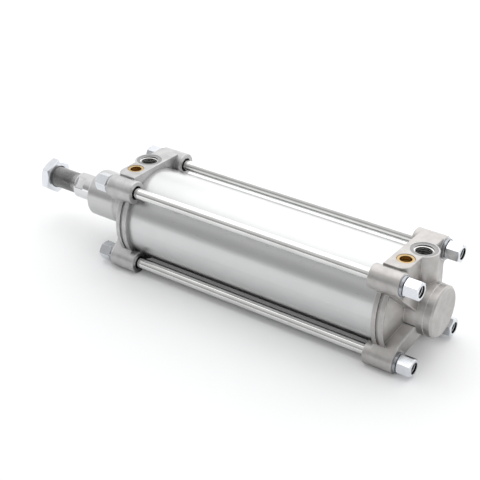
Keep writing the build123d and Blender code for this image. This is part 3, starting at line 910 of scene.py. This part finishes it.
@dataclass
class PistonRod:
    """Chromed rod with wrench flats and a threaded end. Sizes are in millimetres."""

    radius: float = span("piston_rod", "y")[1]
    tail_radius: float = 9.0
    seat_radius: float = 10.0
    tail_end: float = span("piston_rod", "x")[0]
    piston_rear: float = span("piston_rear_half", "x")[0]
    piston_front: float = span("piston_front_half", "x")[1]
    end: float = span("piston_rod", "x")[1]
    screw_length: float = 40.0
    chamfer: float = 1.5
    relief_radius: float = 8.7
    relief_length: float = 3.0
    relief_slope: float = 0.4
    core_radius: float = 9.08
    core_sink: float = 1.0
    thread_radius: float = 10.0
    thread_gap: float = 0.9
    pitch: float = 1.5
    flat_gap: float = 2.5
    flat_length: float = 10.0
    flat_half: float = 11.0
    flat_turn: float = 40.0
    soft_edge: float = 0.25
    segments: int = 128

    @property
    def shoulder(self) -> float:
        """Place along X where the chromed rod ends and the screw end starts."""
        return self.end - self.screw_length

    def build(self, threads: ThreadTree, finishes: Finishes) -> None:
        """Builds the rod and its screw end.

        Args:
            threads: The tree that winds threads.
            finishes: The cylinder's finishes.
        """
        shaft = self._shaft(finishes.by_key["rod_chrome"])
        keep_piece("rod_shaft", shaft, "rod_and_piston", "rod_chrome", "piston_rod")
        screw = self._screw_end(threads, finishes.by_key["rod_thread"])
        keep_piece("rod_screw_end", screw, "rod_and_piston", "rod_chrome", "piston_rod")

    def _shaft(self, finish: bpy.types.Material) -> bpy.types.Mesh:
        """Rod from its tail to the shoulder.

        Args:
            finish: The rod's material.

        Returns:
            The mesh.
        """
        flat_end = self.shoulder - self.flat_gap
        flat_start = flat_end - self.flat_length
        # The flats' two rings are doubled, so that each flat ends in a step.
        profile = [
            (self.tail_end, 0.0),
            (self.tail_end, self.tail_radius - self.chamfer),
            (self.tail_end + self.chamfer, self.tail_radius),
            (self.piston_rear, self.tail_radius),
            (self.piston_rear, self.seat_radius),
            (self.piston_front, self.seat_radius),
            (self.piston_front, self.radius - self.soft_edge),
            (self.piston_front + self.soft_edge, self.radius),
            (flat_start, self.radius),
            (flat_start, self.radius),
            (flat_end, self.radius),
            (flat_end, self.radius),
            (self.shoulder - self.chamfer, self.radius),
            (self.shoulder, self.radius - self.chamfer),
            (self.shoulder, 0.0),
        ]
        return lathe("rod_shaft", profile, self.segments, finish, cut_rings=(9, 10), cut=self._flat)

    def _flat(self, y: float, z: float) -> tuple[float, float]:
        """Moves a point of the rod's surface onto the wrench flats.

        Args:
            y: Its y in millimetres.
            z: Its z in millimetres.

        Returns:
            The point's y and z on the flat, or unchanged beside it.
        """
        turn = math.radians(self.flat_turn)
        across = y * math.cos(turn) + z * math.sin(turn)
        beside = -y * math.sin(turn) + z * math.cos(turn)
        across = max(-self.flat_half, min(self.flat_half, across))
        return (
            across * math.cos(turn) - beside * math.sin(turn),
            across * math.sin(turn) + beside * math.cos(turn),
        )

    def _screw_end(self, threads: ThreadTree, finish: bpy.types.Material) -> bpy.types.Mesh:
        """Core, relief and thread in front of the shoulder.

        Args:
            threads: The tree that winds threads.
            finish: The material of the screw end.

        Returns:
            The mesh.
        """
        core_start = self.shoulder - self.core_sink
        relief_end = self.shoulder + self.relief_length
        start = relief_end + self.thread_gap
        sizes = Ridge(
            self.core_radius,
            self.thread_radius - self.core_radius,
            self.pitch,
            self.end - self.thread_gap - start,
            root_share=0.86,
            crest_share=0.14,
            steps_per_turn=64,
            run_out=0.9,
            female=False,
        )
        ridge = threads.wind([(start * MM, 0.0, 0.0)], Axis.X.value, finish, sizes)
        tip = self.end - (self.core_radius - (self.thread_radius - self.chamfer))
        core = lathe(
            "rod_core",
            [
                (core_start, 0.0),
                (core_start, self.relief_radius),
                (relief_end, self.relief_radius),
                (relief_end + self.relief_slope, self.core_radius),
                (tip, self.core_radius),
                (self.end, self.thread_radius - self.chamfer),
                (self.end, 0.0),
            ],
            self.segments // 2,
            finish,
        )
        return joined("rod_screw_end", (core, ridge), finish)


def lathe(
    name: str,
    profile: Sequence[tuple[float, float]],
    segments: int,
    finish: bpy.types.Material,
    cut_rings: Sequence[int] = (),
    cut: Callable[[float, float], tuple[float, float]] | None = None,
) -> bpy.types.Mesh:
    """Turns a profile about the X axis.

    Args:
        name: The mesh's name.
        profile: Places along X and radii, in millimetres, from axis to axis.
        segments: Faces around.
        finish: The material.
        cut_rings: Rings of the profile whose points go through cut.
        cut: Function of y and z that gives the moved point.

    Returns:
        A closed, smooth mesh in metres.
    """
    shape = bmesh.new()
    rings: list[list[bmesh.types.BMVert]] = []
    for number, (x, radius) in enumerate(profile):
        ring = []
        for step in range(segments):
            angle = math.tau * step / segments
            y, z = radius * math.cos(angle), radius * math.sin(angle)
            if number in cut_rings:
                y, z = cut(y, z)
            ring.append(shape.verts.new((x * MM, y * MM, z * MM)))
        rings.append(ring)
    for first, second in zip(rings, rings[1:]):
        for step in range(segments):
            after = (step + 1) % segments
            shape.faces.new((first[step], first[after], second[after], second[step]))
    bmesh.ops.remove_doubles(shape, verts=shape.verts, dist=WELD)
    bmesh.ops.dissolve_degenerate(shape, edges=shape.edges, dist=SLIVER)
    bmesh.ops.recalc_face_normals(shape, faces=shape.faces)
    mesh = bpy.data.meshes.new(name)
    shape.to_mesh(mesh)
    shape.free()
    mesh.materials.append(finish)
    smooth_by_angle(mesh)
    return mesh


def smooth_by_angle(mesh: bpy.types.Mesh, limit: float = 28.0) -> None:
    """Shades a mesh smooth, with sharp edges where faces meet at more than some degrees."""
    mesh.shade_smooth()
    mesh.set_sharp_from_angle(angle=math.radians(limit))


def joined(name: str, parts: Sequence[bpy.types.Mesh], finish: bpy.types.Material) -> bpy.types.Mesh:
    """Joins closed meshes into one.

    Args:
        name: The new mesh's name.
        parts: The meshes to join.
        finish: The one material of the result.

    Returns:
        The joined mesh.
    """
    shape = bmesh.new()
    for part in parts:
        shape.from_mesh(part)
    mesh = bpy.data.meshes.new(name)
    shape.to_mesh(mesh)
    shape.free()
    mesh.materials.append(finish)
    for polygon in mesh.polygons:
        polygon.material_index = 0
    smooth_by_angle(mesh)
    return mesh


@dataclass
class PortThread:
    """Female pipe thread inside one port. Sizes are in millimetres."""

    end: End
    height: float = 1.05
    # Coarser than the standard thread, as the photograph shows it.
    pitch: float = 1.814
    length: float = 11.4
    top: float = 46.6

    def build(self, threads: ThreadTree, finishes: Finishes) -> None:
        """Builds the thread and its place in the cover.

        Args:
            threads: The tree that winds threads.
            finishes: The cylinder's finishes.
        """
        port = f"{self.end.value}_port"
        x, y, _ = mount_place(port)
        start = (x * MM, y * MM, self.top * MM)
        ridge = Ridge(
            MOUNTS[port]["dims"]["r_mm"], self.height, self.pitch, self.length,
            root_share=0.68, crest_share=0.12, steps_per_turn=56,
        )
        mesh = threads.wind([start], (0.0, 0.0, -1.0), finishes.by_key["port_thread"], ridge)
        smooth_by_angle(mesh)
        keep_piece(f"{self.end.value}_port_thread", mesh, "housing", "cast_aluminium")


@dataclass
class NutThreads:
    """Female threads of the four tie-rod nuts at one end. Sizes are in millimetres."""

    end: End
    height: float = 0.80
    pitch: float = 1.5
    lead: float = 0.9
    length: float = 18.5

    def build(self, threads: ThreadTree, finishes: Finishes) -> None:
        """Builds the threads in the four nuts.

        Args:
            threads: The tree that winds threads.
            finishes: The cylinder's finishes.
        """
        rear = self.end is End.REAR
        x = (self.lead if rear else OVERALL - self.lead) * MM
        starts = [(x, y * MM, z * MM) for y, z in CORNERS]
        ridge = Ridge(
            BOLTS["hole_r_mm"], self.height, self.pitch, self.length,
            root_share=0.84, crest_share=0.16, steps_per_turn=32,
        )
        inwards = (1.0 if rear else -1.0, 0.0, 0.0)
        mesh = threads.wind(starts, inwards, finishes.by_key["nut_thread"], ridge)
        smooth_by_angle(mesh)
        keep_piece(f"{self.end.value}_nut_threads", mesh, "housing", "zinc_steel")


@dataclass(frozen=True)
class Lamp:
    """Soft rectangular lamp. Sizes and places are in metres, power is in watts."""

    name: str
    place: tuple[float, float, float]
    target: tuple[float, float, float]
    size: tuple[float, float]
    power: float

    def build(self) -> None:
        """Adds the lamp, unseen by the camera."""
        data = bpy.data.lights.new(self.name, "AREA")
        data.shape = "RECTANGLE"
        data.size, data.size_y = self.size
        data.energy = self.power
        lamp = bpy.data.objects.new(self.name, data)
        lamp.location = self.place
        aim = Vector(self.target) - Vector(self.place)
        lamp.rotation_euler = aim.to_track_quat("-Z", "Y").to_euler()
        lamp.visible_camera = False
        bpy.context.scene.collection.objects.link(lamp)


@dataclass
class Studio:
    """Pale floor, soft lamps, world and camera. Sizes are in metres, angles in degrees.

    The floor's glow has one level near the cylinder and one far from it. The world's levels
    are for the photographer's side, low and high above the ground.
    """

    middle: tuple[float, float, float] = (0.16, 0.0, 0.0)
    floor_height: float = span("rear_cover", "z")[0] * MM
    floor_reach: float = 6.0
    floor_colour: tuple[float, float, float] = (0.88, 0.885, 0.89)
    glow_reach: tuple[float, float] = (0.35, 1.3)
    floor_glow: tuple[float, float] = (0.105, 0.37)
    mirror_glow: tuple[float, float] = (0.0, 0.45)
    # Painted shadow under the tube, seen only in reflections.
    mirror_dim: float = 0.85
    dim_width: tuple[float, float] = (0.030, 0.044)
    dim_length: tuple[float, float] = (0.135, 0.16)
    far_level: float = 0.92
    near_way: tuple[float, float, float] = (-0.20, 0.98, 0.0)
    near_start: tuple[float, float] = (-0.2, 0.45)
    near_heights: tuple[float, float] = (0.30, 0.60)
    near_levels: tuple[float, float] = (0.38, 0.68)
    lens: float = 83.82
    sensor: float = 36.0
    clip_start: float = 0.01
    place: tuple[float, float, float] = (-0.3075, 0.7103, 0.4911)
    back: tuple[float, float] = (215.37, 29.39)
    roll: float = 0.28
    lamps: tuple[Lamp, ...] = (
        Lamp("lamp_above", (0.16, -0.25, 1.15), (0.16, 0.0, 0.0), (2.0, 1.5), 6.45),
        Lamp("lamp_behind", (0.3, -1.7, 0.75), (0.16, 0.0, 0.05), (2.6, 1.3), 6.5),
        Lamp("lamp_left", (1.9, 0.5, 0.6), (0.2, 0.0, 0.0), (1.2, 1.0), 3.0),
    )

    def build(self) -> None:
        """Builds the whole studio."""
        self._floor()
        self._world()
        for lamp in self.lamps:
            lamp.build()
        self._camera()
        bpy.context.scene.view_settings.view_transform = "Standard"
        log.info("built the studio with %d lamps", len(self.lamps))

    def _floor(self) -> None:
        """Floor that keeps the cylinder's shadow."""
        shape = bmesh.new()
        bmesh.ops.create_grid(shape, x_segments=2, y_segments=2, size=self.floor_reach)
        mesh = bpy.data.meshes.new("studio_floor")
        shape.to_mesh(mesh)
        shape.free()
        mesh.transform(Matrix.Translation((self.middle[0], self.middle[1], self.floor_height)))
        floor = bpy.data.objects.new("studio_floor", mesh)
        bpy.context.scene.collection.objects.link(floor)
        mesh.materials.append(self._floor_finish())

    def _floor_finish(self) -> bpy.types.Material:
        """Floor that shows white, with a painted shadow under the tube, dark only where the metal mirrors it.

        Returns:
            The new material.
        """
        material, wiring = start_material("studio_floor")
        rays = wiring.add("ShaderNodeLightPath").outputs
        reflected = wiring.calc("MAXIMUM", rays["Is Glossy Ray"], rays["Is Transmission Ray"])
        here = wiring.add("ShaderNodeTexCoord").outputs["Object"]
        place = wiring.vector("SUBTRACT", here, self.middle)
        distance = wiring.vector("LENGTH", place)
        level = wiring.spread(distance, *self.glow_reach, *self.floor_glow)
        mirrored = wiring.spread(distance, *self.glow_reach, *self.mirror_glow)
        # Painted shadow: under the tube the floor turns black for reflected rays.
        away = wiring.add("ShaderNodeSeparateXYZ", {0: wiring.vector("ABSOLUTE", place)}).outputs
        across = wiring.spread(away["Y"], *self.dim_width, 1.0, 0.0)
        along = wiring.spread(away["X"], *self.dim_length, 1.0, 0.0)
        under = wiring.calc("MULTIPLY", across, along)
        dim = wiring.calc("MULTIPLY", wiring.calc("MULTIPLY", reflected, under), self.mirror_dim)
        shader = wiring.add(
            "ShaderNodeBsdfPrincipled",
            {
                "Base Color": wiring.blend(dim, shade(self.floor_colour), shade(self.floor_colour, 0.0)),
                "Roughness": 0.75,
                "Specular IOR Level": 0.2,
            },
        )
        seen = wiring.calc("MULTIPLY", rays["Is Camera Ray"], level)
        strength = wiring.calc("ADD", seen, wiring.calc("MULTIPLY", reflected, mirrored))
        glow = wiring.add("ShaderNodeEmission", {"Color": shade(WHITE), "Strength": strength})
        both = wiring.add("ShaderNodeAddShader", {0: shader.outputs[0], 1: glow.outputs[0]})
        wiring.feed(wiring.add("ShaderNodeOutputMaterial").inputs["Surface"], both.outputs[0])
        return material

    def _world(self) -> None:
        """World that is white to the camera and dims towards the photographer's side."""
        world = bpy.data.worlds.new("studio_world")
        bpy.context.scene.world = world
        world.use_nodes = True
        world.node_tree.nodes.clear()
        wiring = Wiring(world.node_tree)
        way = wiring.add("ShaderNodeTexCoord").outputs["Generated"]
        towards = wiring.vector("DOT_PRODUCT", way, self.near_way)
        height = wiring.add("ShaderNodeSeparateXYZ", {0: way}).outputs["Z"]
        near_level = wiring.spread(height, *self.near_heights, *self.near_levels)
        share = wiring.spread(towards, *self.near_start, 0.0, 1.0)
        change = wiring.calc("SUBTRACT", near_level, self.far_level)
        level = wiring.calc("MULTIPLY_ADD", share, change, self.far_level)
        seen = wiring.add("ShaderNodeLightPath").outputs["Is Camera Ray"]
        missing = wiring.calc("SUBTRACT", 1.0, level)
        strength = wiring.calc("ADD", wiring.calc("MULTIPLY", seen, missing), level)
        background = wiring.add("ShaderNodeBackground", {"Color": shade(WHITE), "Strength": strength})
        wiring.feed(wiring.add("ShaderNodeOutputWorld").inputs["Surface"], background.outputs[0])

    def _camera(self) -> None:
        """Camera where the photograph was taken from."""
        azimuth, elevation = (math.radians(angle) for angle in self.back)
        back = Vector((
            math.sin(azimuth) * math.cos(elevation),
            -math.cos(azimuth) * math.cos(elevation),
            math.sin(elevation),
        ))
        right = (-back).cross(Vector((0.0, 0.0, 1.0))).normalized()
        up = right.cross(-back)
        turn = Matrix.Rotation(math.radians(self.roll), 3, back)
        pose = Matrix((turn @ right, turn @ up, back)).transposed()
        data = bpy.data.cameras.new("camera")
        data.lens = self.lens
        data.sensor_width = self.sensor
        data.clip_start = self.clip_start
        camera = bpy.data.objects.new("camera", data)
        camera.matrix_world = Matrix.Translation(self.place) @ pose.to_4x4()
        bpy.context.scene.collection.objects.link(camera)
        bpy.context.scene.camera = camera


def main() -> None:
    """Builds the finishes, the pieces and the studio, in that order."""
    logging.basicConfig(level=logging.INFO, format="%(message)s")
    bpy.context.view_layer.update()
    finishes = Finishes(Effects())
    finishes.dress_frame()
    threads = ThreadTree()
    PistonRod().build(threads, finishes)
    for end in End:
        PortThread(end).build(threads, finishes)
    for end in End:
        NutThreads(end).build(threads, finishes)
    Studio().build()


if __name__ == "__main__":
    main()
